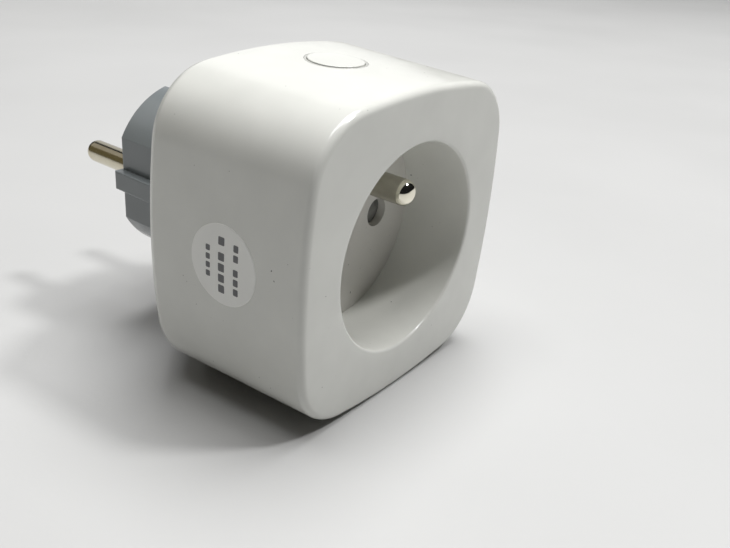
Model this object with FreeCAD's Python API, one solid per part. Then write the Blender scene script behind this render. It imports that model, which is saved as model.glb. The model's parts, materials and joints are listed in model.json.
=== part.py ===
"""Compact smart plug: a rounded cube that plugs into a wall socket and carries a switched socket.

The working frame is X to the right, Y from the socket face back towards the plug pins, Z up,
with zero on the socket's axis at the front face. place() moves every part to the row frame,
whose origin is at the bottom centre of the whole object. All lengths are in millimetres.
"""
import FreeCAD, Part
import math
import os

# ---- casing ----
FRONT_HALF = 28.8            # half width of the front face, at the middle of a side
DRAFT = 1.4                  # how much further out each side is at the rear edge
SHELL_DEPTH = 35.0
FRONT_CORNER = 12.4          # corner radius of the front outline
SIDE_BULGE = 140.0           # radius of the slight outward curve of each side
WALL = 2.0
FRONT_WALL = 2.2
FRONT_ROUND = 1.3            # fillet round the front face
REAR_ROUND = 0.8             # fillet round the shell's rear edge
AXIS_HEIGHT = 30.17          # socket axis above the lowest line of the shell
OVERALL_LENGTH = 80.0

# ---- socket recess ----
RECESS_R = 19.5
RECESS_DEPTH = 15.0
RECESS_LIP = 0.5
RECESS_WALL = 1.8
FLOOR = 1.8                  # thickness of the socket face
RECESS_BACK = RECESS_DEPTH + FLOOR
CONTACT_X = 9.5              # line and neutral are this far each side of the axis
CONTACT_HOLE_R = 2.9
EARTH_Z = 10.0               # earth pin above the axis
PIN_R = 2.4
EARTH_PIN_LENGTH = 14.0
EARTH_NECK_R = 2.0
RIVET_HEAD_R = 2.5
EARTH_DOME = 2.0

# ---- rear cover and plug ----
COVER_BACK = 43.0            # flat back of the cover, where the plug body starts
COVER_BACK_HALF = 22.0
COVER_BACK_CORNER = 9.0
COVER_INSET = 0.9            # cover's rim inside the shell's rear edge
COVER_WALL = 1.9
PLUG_FACE = 61.0
PLUG_R = 18.0
PLUG_FLAT = 15.85            # flats on the left and right of the plug body
PLUG_WALL = 1.6
RIB_REACH = 17.8             # outer face of the guide ribs
RIB_HALF = 1.95
RIB_EDGE = 0.3               # rounding of the ribs' long edges
PLUG_EDGE = 0.4              # rounding of the plug body's rim
PLUG_PLATE = 2.5             # thickness of the plate that holds the pins
PLUG_PIN_LENGTH = 19.0
PLUG_PIN_DOME = 1.9
PIN_NECK_R = 2.7
PIN_FLANGE_R = 3.4
PIN_FLANGE = 1.6
PIN_TAIL_R = 1.2
PLUG_EARTH_HOLE_R = 2.9
EARTH_TUBE_R = 2.5
EARTH_TUBE_FRONT = 46.0      # leaves more than the 14 mm that a wall socket's earth pin needs
NOTCH_HALF = 4.7             # half width of the side earth notches
NOTCH_FLOOR = 15.4
NOTCH_PAD = 1.2              # extra wall under and beside each notch
CLIP_HALF = 2.8
METAL = 0.8                  # thickness of the contact strips
CLIP_FRONT = 44.4

# ---- socket contacts ----
CARRIER_FRONT = 20.6
CARRIER_HALF_W = 16.0
CARRIER_HALF_H = 8.0
CLIP_BORE_R = 2.45           # a little under the plug pins, so that the clips grip them
CLIP_OUTER_R = 3.05
CLIP_BASE = 34.2
CLIP_TAB_Z = 3.8             # the two soldered tabs of a clip are this far off its middle
STRAP_Z = 12.6               # underside of the earth strap that runs front to back
STRAP_HALF = 2.5

# ---- power board ----
BOARD_Y = 36.2               # front of the board, which the contact carrier stands on
BOARD_T = 1.6
BOARD_BACK = BOARD_Y + BOARD_T
BOARD_HALF = 23.6
BOARD_CORNER = 9.0
LEAD_R = 0.4
LEAD_HOLE_R = 0.5
LEAD_PLACES = {              # (x, z) of each component's two wire leads
    "bulk_capacitor": ((10.3, -20.5), (10.3, -17.5)),
    "filter_capacitor": ((21.3, -4.5), (21.3, 4.5)),
    "varistor": ((-21.4, -2.5), (-21.4, 2.5)),
    "fuse_resistor": ((19.2, 11.6), (22.2, 11.6)),
    "inductor": ((-20.9, 9.8), (-17.9, 9.8)),
}
BULK_R = 4.0
BULK_FRONT = 22.6
FILTER_HALF_T = 2.9
FILTER_HALF_W = 7.0
FILTER_FRONT = 25.5
VARISTOR_R = 5.6
VARISTOR_HALF_T = 1.7
VARISTOR_Y = 29.4
FUSE_R = 1.2
FUSE_FRONT = 27.0
STANDING_BACK = 35.4         # the resistor and the inductor stand this far back
INDUCTOR_R = 3.4
INDUCTOR_CORE_R = 2.6
CHIP_Z = 16.2                # middle of the row of chips on the board's front
CHIP_HALF_H = 2.0

# ---- radio board ----
RADIO_Z = 20.0
RADIO_T = 1.2
RADIO_TOP = RADIO_Z + RADIO_T
RADIO_HALF = 14.0
RADIO_BACK = 35.0
RAIL = 1.2                   # thickness of the housing's rails beside the board
HEADER_PITCH = 2.54
HEADER_PINS = 6
HEADER_PIN_R = 0.32
HEADER_Z = RADIO_Z - 1.3
SHEET = 0.2                  # thickness of the shield can

# ---- button ----
BUTTON_Y = 20.0
BUTTON_R = 5.15
BUTTON_PROUD = 0.2           # the cap stands this far above the casing's top
RING_IN = 5.25
RING_OUT = 5.7
RING_BASE = 26.3             # underside of the light ring's flange
RING_FLANGE_R = 6.9
GUIDE_X = 6.1                # leg of the light guide, over the status light
BUTTON_TRAVEL = 0.45
CAP_BASE = 27.0
STEM_R = 1.6
SWITCH_HALF = 3.0
SWITCH_HEIGHT = 2.2
SWITCH_WELL = 0.7            # floor of the well that the plunger sinks into
PLUNGER_TOP = 3.4

# ---- fastening ----
SCREW_X = 20.0
BOSS_R = 3.2
PILLAR_X = 20.0              # pillars of the rear cover that press on the power board
SCREW_R = 1.3
SCREW_FRONT = 23.0
SCREW_SEAT = 37.0
SCREW_HEAD_R = 2.5
SCREW_HEAD = 1.8
COUNTERBORE_R = 2.9

# ---- shutter ----
SHUTTER_FRONT = 17.0
SHUTTER_BACK = 20.4
SHUTTER_HALF_W = 13.2
SHUTTER_HALF_H = 3.7
GUIDE_GAP = 0.15             # play of the shutter between its guides
SPRING_TOP = 1.5
SPRING_SEAT = -13.0
SPRING_WIRE_R = 0.2
SPRING_R = 1.2
SPRING_TURNS = 9

# ---- relay ----
RELAY_X0, RELAY_X1 = -15.8, 3.2
RELAY_Z0, RELAY_Z1 = -25.2, -10.0
RELAY_FRONT = 20.9
RELAY_BASE = 1.6
RELAY_WALL = 0.8
RELAY_MIDDLE = (RELAY_Z0 + RELAY_Z1) / 2
YOKE_X = RELAY_X0 + 1.2
YOKE_HALF = 4.0
CORE_R = 1.8
SPOOL_R = 2.4
COIL_X = -8.3
COIL_R = 4.6
YOKE_T = 1.1
POLE_Y = 25.0
FIXED_CONTACT_X = -0.4
TERMINAL_HALF = 2.0
TERMINAL_END = 38.2
RELAY_CONTACT_R = 1.3
ARMATURE_T = 1.0
BLADE_T = 0.25
ARMATURE_OPEN_DEG = 3.0

# ---- label on the left side ----
LABEL_Y = 16.9
LABEL_Z = 0.3
LABEL_R = 7.2
LABEL_T = 0.12

FAR = 100.0


def vec(x, y, z):
    return FreeCAD.Vector(x, y, z)


def box(x0, x1, y0, y1, z0, z1):
    return Part.makeBox(x1 - x0, y1 - y0, z1 - z0, vec(x0, y0, z0))


def rod_x(r, y, z, x0, x1):
    return Part.makeCylinder(r, x1 - x0, vec(x0, y, z), vec(1, 0, 0))


def rod_y(r, x, z, y0, y1):
    return Part.makeCylinder(r, y1 - y0, vec(x, y0, z), vec(0, 1, 0))


def rod_z(r, x, y, z0, z1):
    return Part.makeCylinder(r, z1 - z0, vec(x, y, z0), vec(0, 0, 1))


def fuse(*shapes):
    whole = shapes[0]
    for shape in shapes[1:]:
        whole = whole.fuse(shape)
    return whole.removeSplitter()


def cut(shape, *tools):
    for tool in tools:
        shape = shape.cut(tool)
    return shape


def mirror_x(shape):
    return shape.mirror(vec(0, 0, 0), vec(1, 0, 0))


def mirror_z(shape):
    return shape.mirror(vec(0, 0, 0), vec(0, 0, 1))


def fillet_where(shape, radius, chosen):
    return shape.makeFillet(radius, [edge for edge in shape.Edges if chosen(edge)])


def circle_edge(edge, radius, y):
    """True for a circle of this radius that lies in the plane at this y."""
    if not isinstance(edge.Curve, Part.Circle):
        return False
    return abs(edge.Curve.Radius - radius) < 0.01 and abs(edge.BoundBox.YMin - y) < 0.01


def outline(half, corner, bulge, y):
    """Rounded square in the plane at y: four bulged sides joined by tangent corner arcs."""
    reach = bulge - half
    side = (-reach + math.sqrt(2 * (bulge - corner) ** 2 - reach ** 2)) / 2
    lean = math.atan2(side, side + reach)

    def at(cx, cz, radius, angle):
        return vec(cx + radius * math.sin(angle), y, cz + radius * math.cos(angle))

    edges = []
    for turn in range(4):
        quarter = turn * math.pi / 2
        side_cx, side_cz = -reach * math.sin(quarter), -reach * math.cos(quarter)
        edges.append(Part.Arc(*[at(side_cx, side_cz, bulge, quarter + a)
                                for a in (-lean, 0, lean)]).toShape())
        diagonal = quarter + math.pi / 4
        corner_cx = side * math.sqrt(2) * math.sin(diagonal)
        corner_cz = side * math.sqrt(2) * math.cos(diagonal)
        edges.append(Part.Arc(*[at(corner_cx, corner_cz, corner, diagonal + a)
                                for a in (lean - math.pi / 4, 0, math.pi / 4 - lean)]).toShape())
    return Part.Wire(edges)


def shell_form(offset, y0, y1):
    """Solid with the shell's drafted sides, moved outwards by offset, from y0 to y1."""
    wires = []
    for y in (y0, y1):
        out = offset + DRAFT * y / SHELL_DEPTH
        wires.append(outline(FRONT_HALF + out, FRONT_CORNER + out, SIDE_BULGE + out, y))
    return Part.makeLoft(wires, True, True)


def corner_posts(radius, y0, y1):
    """Round posts, or the cutters for their holes, on the four screw axes."""
    return [rod_y(radius, sx * SCREW_X, sz * SCREW_X, y0, y1) for sx in (-1, 1) for sz in (-1, 1)]


def in_plane(y):
    """Test for the edges that lie in the plane at y."""
    return lambda edge: abs(edge.BoundBox.YMin - y) < 0.01 and abs(edge.BoundBox.YMax - y) < 0.01


def front_housing():
    """White shell with the recess wall, screw posts, rails for the radio board and button hole."""
    shell = shell_form(0, 0, SHELL_DEPTH)
    shell = fillet_where(shell, FRONT_ROUND, in_plane(0))
    shell = fillet_where(shell, REAR_ROUND, in_plane(SHELL_DEPTH))
    shell = shell.cut(shell_form(-WALL, FRONT_WALL, SHELL_DEPTH + 1))
    sleeve = rod_y(RECESS_R + RECESS_WALL, 0, 0, 1, RECESS_DEPTH)
    posts = corner_posts(BOSS_R, FRONT_WALL - 0.5, SHELL_DEPTH - 0.1)
    rail = box(RADIO_HALF + 0.2, RADIO_HALF + 0.2 + RAIL, FRONT_WALL, RADIO_BACK - 3, RADIO_Z - 1.5, 27.0)
    shell = fuse(shell, sleeve, *posts, rail, mirror_x(rail))
    shell = cut(shell, rod_y(RECESS_R, 0, 0, -1, RECESS_DEPTH + 1),
                *corner_posts(SCREW_R + 0.05, SCREW_FRONT - 1, SHELL_DEPTH),
                rod_z(RING_OUT + 0.05, 0, BUTTON_Y, RADIO_Z + 4, FAR))
    return fillet_where(shell, RECESS_LIP, lambda edge: circle_edge(edge, RECESS_R, 0))


def socket_face():
    """Floor of the recess, with the guides and the spring seat of the shutter behind it."""
    plate = rod_y(RECESS_R + RECESS_WALL, 0, 0, RECESS_DEPTH, RECESS_BACK)
    inner = SHUTTER_HALF_W + GUIDE_GAP
    guide = box(inner, inner + 1.75, RECESS_BACK, CARRIER_FRONT, SPRING_SEAT - 0.5, SHUTTER_HALF_H + 1.8)
    seat = box(-3.0, 3.0, RECESS_BACK, CARRIER_FRONT, SPRING_SEAT - 1.5, SPRING_SEAT)
    plate = fuse(plate, guide, mirror_x(guide), seat)
    holes = [rod_y(CONTACT_HOLE_R, sx * CONTACT_X, 0, 0, RECESS_BACK + 1) for sx in (-1, 1)]
    return cut(plate, *holes, rod_y(EARTH_NECK_R + 0.03, 0, EARTH_Z, 0, RECESS_BACK + 1))


def earth_pin():
    """Earth pin of the socket, riveted through the floor and the end of the earth bar."""
    tip = RECESS_DEPTH - EARTH_PIN_LENGTH
    back = RECESS_BACK + METAL
    pin = rod_y(PIN_R, 0, EARTH_Z, tip, RECESS_DEPTH)
    pin = fillet_where(pin, EARTH_DOME, lambda edge: circle_edge(edge, PIN_R, tip))
    neck = rod_y(EARTH_NECK_R, 0, EARTH_Z, RECESS_DEPTH, back)
    return fuse(pin, neck, rod_y(RIVET_HEAD_R, 0, EARTH_Z, back, back + 1.0))


def earth_bar():
    """Strip from the socket's earth pin back to the plug's earth tube and side clips."""
    back = EARTH_TUBE_FRONT
    top = STRAP_Z + METAL
    eye = box(-3.2, 3.2, RECESS_BACK, RECESS_BACK + METAL, EARTH_Z - 3.4, top)
    strap = box(-STRAP_HALF, STRAP_HALF, RECESS_BACK, back, STRAP_Z, top)
    crossbar = box(-3.0, 3.0, back - METAL, back, -STRAP_Z - 1.0, top)
    bar = fuse(eye, strap, crossbar)
    return bar.cut(rod_y(EARTH_NECK_R + 0.03, 0, EARTH_Z, 0, back - METAL - 1))


def shutter():
    """Child-safety slider with a ramp under each contact hole and a notch for its spring."""
    plate = box(-SHUTTER_HALF_W, SHUTTER_HALF_W, SHUTTER_FRONT, SHUTTER_BACK,
                -SHUTTER_HALF_H, SHUTTER_HALF_H)
    ramp_points = [(SHUTTER_FRONT - 1, -2.6), (SHUTTER_FRONT + 2.6, SHUTTER_HALF_H + 1),
                   (SHUTTER_FRONT - 1, SHUTTER_HALF_H + 1), (SHUTTER_FRONT - 1, -2.6)]
    for sx in (-1, 1):
        start = sx * CONTACT_X - 2.7
        face = Part.Face(Part.makePolygon([vec(start, y, z) for y, z in ramp_points]))
        plate = plate.cut(face.extrude(vec(5.4, 0, 0)))
    return plate.cut(box(-1.8, 1.8, SHUTTER_FRONT - 1, SHUTTER_BACK + 1,
                         -SHUTTER_HALF_H - 1, SPRING_TOP))


def coil_spring(wire_r, mean_r, turns, x, y, z0, z1):
    length = z1 - z0 - 2 * wire_r
    helix = Part.makeHelix(length / turns, length, mean_r)
    ring = Part.Wire(Part.makeCircle(wire_r, vec(mean_r, 0, 0), vec(0, 1, 0)))
    spring = Part.Wire(helix.Edges).makePipeShell([ring], True, True)
    spring.translate(vec(x, y, z0 + wire_r))
    return spring


def shutter_spring():
    middle = (SHUTTER_FRONT + SHUTTER_BACK) / 2
    return coil_spring(SPRING_WIRE_R, SPRING_R, SPRING_TURNS, 0, middle, SPRING_SEAT + 0.02, SPRING_TOP - 0.02)


def contact_carrier():
    """Moulded block with a pocket for each socket clip, between the shutter and the board."""
    block = box(-CARRIER_HALF_W, CARRIER_HALF_W, CARRIER_FRONT, BOARD_Y, -CARRIER_HALF_H, CARRIER_HALF_H)
    for sx in (-1, 1):
        x = sx * CONTACT_X
        pocket = box(x - 4.2, x + 4.2, CARRIER_FRONT + 1.2, BOARD_Y + 1, -4.5, 4.5)
        entry = rod_y(CONTACT_HOLE_R + 0.1, x, 0, CARRIER_FRONT - 1, BOARD_Y)
        block = cut(block, pocket, entry)
    return block.cut(box(-3.6, 3.6, CARRIER_FRONT + 2, BOARD_Y + 1, -CARRIER_HALF_H - 1, CARRIER_HALF_H + 1))


def socket_clip(x):
    """Two sprung half sleeves on a base, with two tabs soldered through the board."""
    front = CARRIER_FRONT + 1.6
    sleeve = rod_y(CLIP_OUTER_R, x, 0, front, CLIP_BASE)
    sleeve = sleeve.cut(rod_y(CLIP_BORE_R, x, 0, front - 1, CLIP_BASE + 1))
    sleeve = sleeve.cut(box(x - 4, x + 4, front - 1, CLIP_BASE - 1.5, -0.6, 0.6))
    flare = Part.makeCone(CLIP_OUTER_R + 0.25, CLIP_BORE_R, 1.2, vec(x, front, 0), vec(0, 1, 0))
    base = box(x - 3.6, x + 3.6, CLIP_BASE, CLIP_BASE + METAL, -4.2, 4.2)
    tabs = [box(x - 1.5, x + 1.5, CLIP_BASE, BOARD_BACK + 0.4, z - METAL / 2, z + METAL / 2)
            for z in (-CLIP_TAB_Z, CLIP_TAB_Z)]
    return fuse(sleeve.cut(flare), base, *tabs)


def cover_form(inset, y0, y1):
    """Solid with the rear cover's tapered sides, moved inwards by inset."""
    wires = []
    for y in (y0, y1):
        share = (y - SHELL_DEPTH) / (COVER_BACK - SHELL_DEPTH)
        half = (FRONT_HALF + DRAFT - COVER_INSET) * (1 - share) + COVER_BACK_HALF * share - inset
        corner = (FRONT_CORNER + DRAFT) * (1 - share) + COVER_BACK_CORNER * share - inset
        wires.append(outline(half, corner, SIDE_BULGE, y))
    return Part.makeLoft(wires, True, True)


def plug_form(offset, y0, y1):
    """Round plug body with its two flats, moved outwards by offset."""
    flat = PLUG_FLAT + offset
    return rod_y(PLUG_R + offset, 0, 0, y0, y1).common(box(-flat, flat, y0, y1, -FAR, FAR))


def cover_shell():
    """Tapered back of the casing, hollow, with its lip inside the white shell and its posts."""
    cover = fillet_where(cover_form(0, SHELL_DEPTH, COVER_BACK), 1.5, in_plane(COVER_BACK))
    cover = cover.cut(cover_form(COVER_WALL, SHELL_DEPTH, COVER_BACK - COVER_WALL))
    lip = shell_form(-WALL - 0.1, SHELL_DEPTH - 2.5, SHELL_DEPTH)
    lip = lip.cut(shell_form(-WALL - 1.3, SHELL_DEPTH - 3, SHELL_DEPTH + 1))
    lip = cut(lip, *corner_posts(BOSS_R + 0.2, SHELL_DEPTH - 3, SHELL_DEPTH))
    posts = [post.common(cover_form(0.2, SHELL_DEPTH, COVER_BACK))
             for post in corner_posts(4.2, SHELL_DEPTH, COVER_BACK)]
    pillars = [rod_y(1.8, sx * PILLAR_X, 0, BOARD_BACK, COVER_BACK - 1) for sx in (-1, 1)]
    return fuse(cover, lip, *posts, *pillars)


def rear_cover():
    """Back of the casing in one moulding with the sleeve of the plug body."""
    sleeve = fillet_where(plug_form(0, COVER_BACK - 1, PLUG_FACE), PLUG_EDGE, in_plane(PLUG_FACE))
    cover = cut(fuse(cover_shell(), sleeve), plug_form(-PLUG_WALL, COVER_BACK - 3, PLUG_FACE + 1))
    rib = box(PLUG_FLAT - 1, RIB_REACH, COVER_BACK - 1, PLUG_FACE, -RIB_HALF, RIB_HALF)
    rib = fillet_where(rib, RIB_EDGE, lambda edge: edge.BoundBox.XMin > RIB_REACH - 0.01)
    pad_half = NOTCH_HALF + NOTCH_PAD
    pad = box(-pad_half, pad_half, COVER_BACK, PLUG_FACE - PLUG_EDGE, NOTCH_FLOOR - NOTCH_PAD, PLUG_R)
    pad = pad.common(plug_form(0, COVER_BACK, PLUG_FACE))
    cover = fuse(cover, rib, mirror_x(rib), pad, mirror_z(pad))
    notch = box(-NOTCH_HALF, NOTCH_HALF, COVER_BACK + 1.0, PLUG_FACE + 1, NOTCH_FLOOR, FAR)
    slot = box(-CLIP_HALF - 0.1, CLIP_HALF + 0.1, CLIP_FRONT - 0.1, EARTH_TUBE_FRONT - METAL + 0.1,
               NOTCH_FLOOR - 2 * NOTCH_PAD, NOTCH_FLOOR + 1)
    cover = cut(cover, notch, mirror_z(notch), slot, mirror_z(slot))
    return cut(cover, *corner_posts(COUNTERBORE_R, SCREW_SEAT, FAR),
               *corner_posts(SCREW_R + 0.2, SHELL_DEPTH - 1, SCREW_SEAT + 1))


def plug_plate():
    """Plate that closes the plug body and holds both pins."""
    front = PLUG_FACE - PLUG_PLATE
    reach = NOTCH_FLOOR - NOTCH_PAD - 0.05
    plate = plug_form(-PLUG_WALL - 0.05, front, PLUG_FACE)
    plate = plate.common(box(-FAR, FAR, front, PLUG_FACE, -reach, reach))
    necks = [rod_y(PIN_NECK_R + 0.03, sx * CONTACT_X, 0, 0, FAR) for sx in (-1, 1)]
    return cut(plate, *necks, rod_y(PLUG_EARTH_HOLE_R, 0, EARTH_Z, 0, FAR))


def plug_pin(x):
    """Line or neutral pin, held by a flange behind the plate, with a tail to the power board."""
    tip = PLUG_FACE + PLUG_PIN_LENGTH
    plate_front = PLUG_FACE - PLUG_PLATE
    pin = rod_y(PIN_R, x, 0, PLUG_FACE, tip)
    pin = fillet_where(pin, PLUG_PIN_DOME, lambda edge: circle_edge(edge, PIN_R, tip))
    neck = rod_y(PIN_NECK_R, x, 0, plate_front, PLUG_FACE)
    flange = rod_y(PIN_FLANGE_R, x, 0, plate_front - PIN_FLANGE, plate_front)
    return fuse(pin, neck, flange, rod_y(PIN_TAIL_R, x, 0, BOARD_Y - 0.2, plate_front - PIN_FLANGE))


def plug_earth_tube():
    """Closed tube in the plug that takes the wall socket's earth pin."""
    tube = rod_y(EARTH_TUBE_R + 0.6, 0, EARTH_Z, EARTH_TUBE_FRONT, PLUG_FACE - PLUG_PLATE)
    return tube.cut(rod_y(EARTH_TUBE_R, 0, EARTH_Z, EARTH_TUBE_FRONT + METAL, FAR))


def earth_clip(side):
    """Side earth contact: a strip on the notch floor with a leg in to the earth bar."""
    top = NOTCH_FLOOR + METAL
    strip = box(-CLIP_HALF, CLIP_HALF, CLIP_FRONT, PLUG_FACE - 1.0, NOTCH_FLOOR, top)
    leg = box(-CLIP_HALF, CLIP_HALF, CLIP_FRONT, CLIP_FRONT + METAL, STRAP_Z + METAL, top)

    def rear_top_edge(edge):
        span = edge.BoundBox
        return span.ZMin > top - 0.01 and span.XLength > 2 * CLIP_HALF - 0.01 and span.YMin > CLIP_FRONT + 1

    clip = fillet_where(fuse(strip, leg), 0.6, rear_top_edge)
    return clip if side > 0 else mirror_z(clip)


def light_ring():
    """Light guide round the button, flush with the top, with a leg down to the status light."""
    ring = rod_z(RING_OUT, 0, BUTTON_Y, RING_BASE, FAR).common(shell_form(0, 1, SHELL_DEPTH - 1))
    flange = rod_z(RING_FLANGE_R, 0, BUTTON_Y, RING_BASE, RING_BASE + 0.9)
    ring = fuse(ring, flange).cut(rod_z(RING_IN, 0, BUTTON_Y, 0, FAR))
    return fuse(ring, rod_z(0.75, GUIDE_X, BUTTON_Y, RADIO_TOP + 0.8, RING_BASE + 0.2))


def push_button():
    """Round cap with a stem that stands on the switch's plunger."""
    cap = rod_z(BUTTON_R, 0, BUTTON_Y, CAP_BASE, FAR).common(shell_form(BUTTON_PROUD, 1, SHELL_DEPTH - 1))
    return fuse(cap, rod_z(STEM_R, 0, BUTTON_Y, RADIO_TOP + PLUNGER_TOP + 0.05, CAP_BASE + 0.2))


def switch_body():
    body = box(-SWITCH_HALF, SWITCH_HALF, BUTTON_Y - SWITCH_HALF, BUTTON_Y + SWITCH_HALF,
               RADIO_TOP, RADIO_TOP + SWITCH_HEIGHT)
    return body.cut(rod_z(STEM_R + 0.1, 0, BUTTON_Y, RADIO_TOP + SWITCH_WELL, FAR))


def switch_plunger():
    base = RADIO_TOP + SWITCH_WELL + BUTTON_TRAVEL + 0.05
    return rod_z(STEM_R, 0, BUTTON_Y, base, RADIO_TOP + PLUNGER_TOP)


def status_light():
    return box(GUIDE_X - 0.8, GUIDE_X + 0.8, BUTTON_Y - 0.5, BUTTON_Y + 0.5, RADIO_TOP, RADIO_TOP + 0.7)


def radio_board():
    return box(-RADIO_HALF, RADIO_HALF, RECESS_BACK + 0.15, RADIO_BACK, RADIO_Z, RADIO_TOP)


def radio_chip():
    return box(4.5, 9.5, 27.5, 32.5, RADIO_TOP, RADIO_TOP + 0.9)


def radio_shield():
    """Sheet-metal can, open below, over the radio chip."""
    x0, x1 = 1.0, 13.0
    y0, y1 = 24.6, RADIO_BACK - 0.4
    top = RADIO_TOP + 2.2
    can = box(x0, x1, y0, y1, RADIO_TOP, top)
    return can.cut(box(x0 + SHEET, x1 - SHEET, y0 + SHEET, y1 - SHEET, RADIO_TOP - 1, top - SHEET))


def antenna():
    """Folded strip antenna standing on two legs at the free corner of the radio board."""
    x0, x1 = 1.2 - RADIO_HALF, -3.0
    y0, y1 = RADIO_BACK - 2.2, RADIO_BACK - 1.0
    low, top = RADIO_TOP + 1.8, RADIO_TOP + 2.1
    strip = box(x0, x1, y0, y1, low, top)
    arm = box(x0, x0 + 1.2, y0 - 6.8, y1, low, top)
    legs = [box(x, x + 0.3, y0, y1, RADIO_TOP, top) for x in (x1 - 0.3, x1 - 3.3)]
    return fuse(strip, arm, *legs)


def header_places():
    """The x places of the header's pins."""
    return [HEADER_PITCH * (i - (HEADER_PINS - 1) / 2) for i in range(HEADER_PINS)]


def board_header():
    """Row of pins that joins the radio board to the power board."""
    half = HEADER_PITCH * HEADER_PINS / 2
    block = box(-half, half, RADIO_BACK - 3.0, RADIO_BACK - 0.4, RADIO_Z - 2.6, RADIO_Z)
    pins = [rod_y(HEADER_PIN_R, x, HEADER_Z, RADIO_BACK - 1, BOARD_BACK + 0.6) for x in header_places()]
    return fuse(block, *pins)


def power_board():
    """Board across the back of the casing, cut for the screws, strap, pins, tabs and leads."""
    board = Part.Face(outline(BOARD_HALF, BOARD_CORNER, SIDE_BULGE, BOARD_Y)).extrude(vec(0, BOARD_T, 0))
    y0, y1 = BOARD_Y - 1, BOARD_BACK + 1
    holes = corner_posts(4.6, y0, y1)
    holes.append(box(-2.8, 2.8, y0, y1, STRAP_Z - 0.3, STRAP_Z + METAL + 0.3))
    holes += [rod_y(HEADER_PIN_R + 0.13, x, HEADER_Z, y0, y1) for x in header_places()]
    for sx in (-1, 1):
        x = sx * CONTACT_X
        holes.append(rod_y(PIN_TAIL_R + 0.1, x, 0, y0, y1))
        holes += [box(x - 1.7, x + 1.7, y0, y1, z - 0.6, z + 0.6) for z in (-CLIP_TAB_Z, CLIP_TAB_Z)]
    for places in LEAD_PLACES.values():
        holes += [rod_y(LEAD_HOLE_R, x, z, y0, y1) for x, z in places]
    return cut(board, *holes, *terminal_slots())


def middle_of(component):
    """The (x, z) midway between a component's leads."""
    (xa, za), (xb, zb) = LEAD_PLACES[component]
    return (xa + xb) / 2, (za + zb) / 2


def leads(component, y0):
    """The component's wire leads from y0 through the power board."""
    return [rod_y(LEAD_R, x, z, y0, BOARD_BACK + 0.5) for x, z in LEAD_PLACES[component]]


def bulk_capacitor():
    """Aluminium can with a crimp groove near its rubber seal."""
    x, z = middle_of("bulk_capacitor")
    can = rod_y(BULK_R, x, z, BULK_FRONT, BOARD_Y)
    can = fillet_where(can, 0.5, lambda edge: circle_edge(edge, BULK_R, BULK_FRONT))
    groove = rod_y(BULK_R + 1, x, z, BOARD_Y - 2.6, BOARD_Y - 1.8)
    groove = groove.cut(rod_y(BULK_R - 0.3, x, z, BOARD_Y - 3, BOARD_Y - 1))
    return fuse(can.cut(groove), *leads("bulk_capacitor", BOARD_Y - 0.5))


def filter_capacitor():
    x, z = middle_of("filter_capacitor")
    body = box(x - FILTER_HALF_T, x + FILTER_HALF_T, FILTER_FRONT, BOARD_Y,
               z - FILTER_HALF_W, z + FILTER_HALF_W)
    body = body.makeFillet(0.5, body.Edges)
    return fuse(body, *leads("filter_capacitor", BOARD_Y - 0.8))


def varistor():
    x, z = middle_of("varistor")
    disc = rod_x(VARISTOR_R, VARISTOR_Y, z, x - VARISTOR_HALF_T, x + VARISTOR_HALF_T)
    disc = fillet_where(disc, 1.2, lambda edge: isinstance(edge.Curve, Part.Circle))
    return fuse(disc, *leads("varistor", VARISTOR_Y + 2.6))


def fuse_resistor():
    """Resistor that stands on one lead, with the other bent over and back down beside it."""
    (x, z), (side_x, _) = LEAD_PLACES["fuse_resistor"]
    top = FUSE_FRONT - 1.4
    body = rod_y(FUSE_R, x, z, FUSE_FRONT, STANDING_BACK)
    bend = fuse(rod_y(LEAD_R, side_x, z, top, BOARD_Y - 0.2), rod_x(LEAD_R, top, z, x, side_x),
                rod_y(LEAD_R, x, z, top, FUSE_FRONT + 0.5))
    return fuse(body, bend, *leads("fuse_resistor", STANDING_BACK - 0.4))


def inductor():
    """Drum core with its winding between two flanges."""
    x, z = middle_of("inductor")
    drum = fuse(rod_y(INDUCTOR_R, x, z, FUSE_FRONT, FUSE_FRONT + 1.2),
                rod_y(INDUCTOR_CORE_R, x, z, FUSE_FRONT + 1, STANDING_BACK - 1.2),
                rod_y(INDUCTOR_R, x, z, STANDING_BACK - 1.4, STANDING_BACK))
    return fuse(drum, *leads("inductor", STANDING_BACK - 0.4))


def board_chip(x0, x1, height):
    """Chip on the front of the power board."""
    return box(x0, x1, BOARD_Y - height, BOARD_Y, CHIP_Z - CHIP_HALF_H, CHIP_Z + CHIP_HALF_H)


def power_chip():
    return board_chip(9.4, 14.4, 1.5)


def rectifier():
    return board_chip(-14.0, -9.4, 2.4)


def metering_shunt():
    """Arch of resistance alloy that the load current passes through, on the back of the board."""
    arch = box(-6.0, 6.0, BOARD_BACK, BOARD_BACK + 2.2, -12.5, -9.5)
    return arch.cut(box(-4.6, 4.6, BOARD_BACK - 1, BOARD_BACK + 1.4, -13, -9))


def relay_base():
    base = box(RELAY_X0, RELAY_X1, BOARD_Y - RELAY_BASE, BOARD_Y, RELAY_Z0, RELAY_Z1)
    return cut(base, *terminal_slots())


def terminal_slots():
    """Slots for the yoke's and the fixed contact's terminals, through the relay base and the board."""
    half = TERMINAL_HALF + 0.1
    spans = [(YOKE_X - 0.1, YOKE_X + YOKE_T + 0.1), (FIXED_CONTACT_X - 0.5, FIXED_CONTACT_X + 0.5)]
    return [box(x0, x1, BOARD_Y - 2, BOARD_BACK + 1, RELAY_MIDDLE - half, RELAY_MIDDLE + half)
            for x0, x1 in spans]


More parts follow.
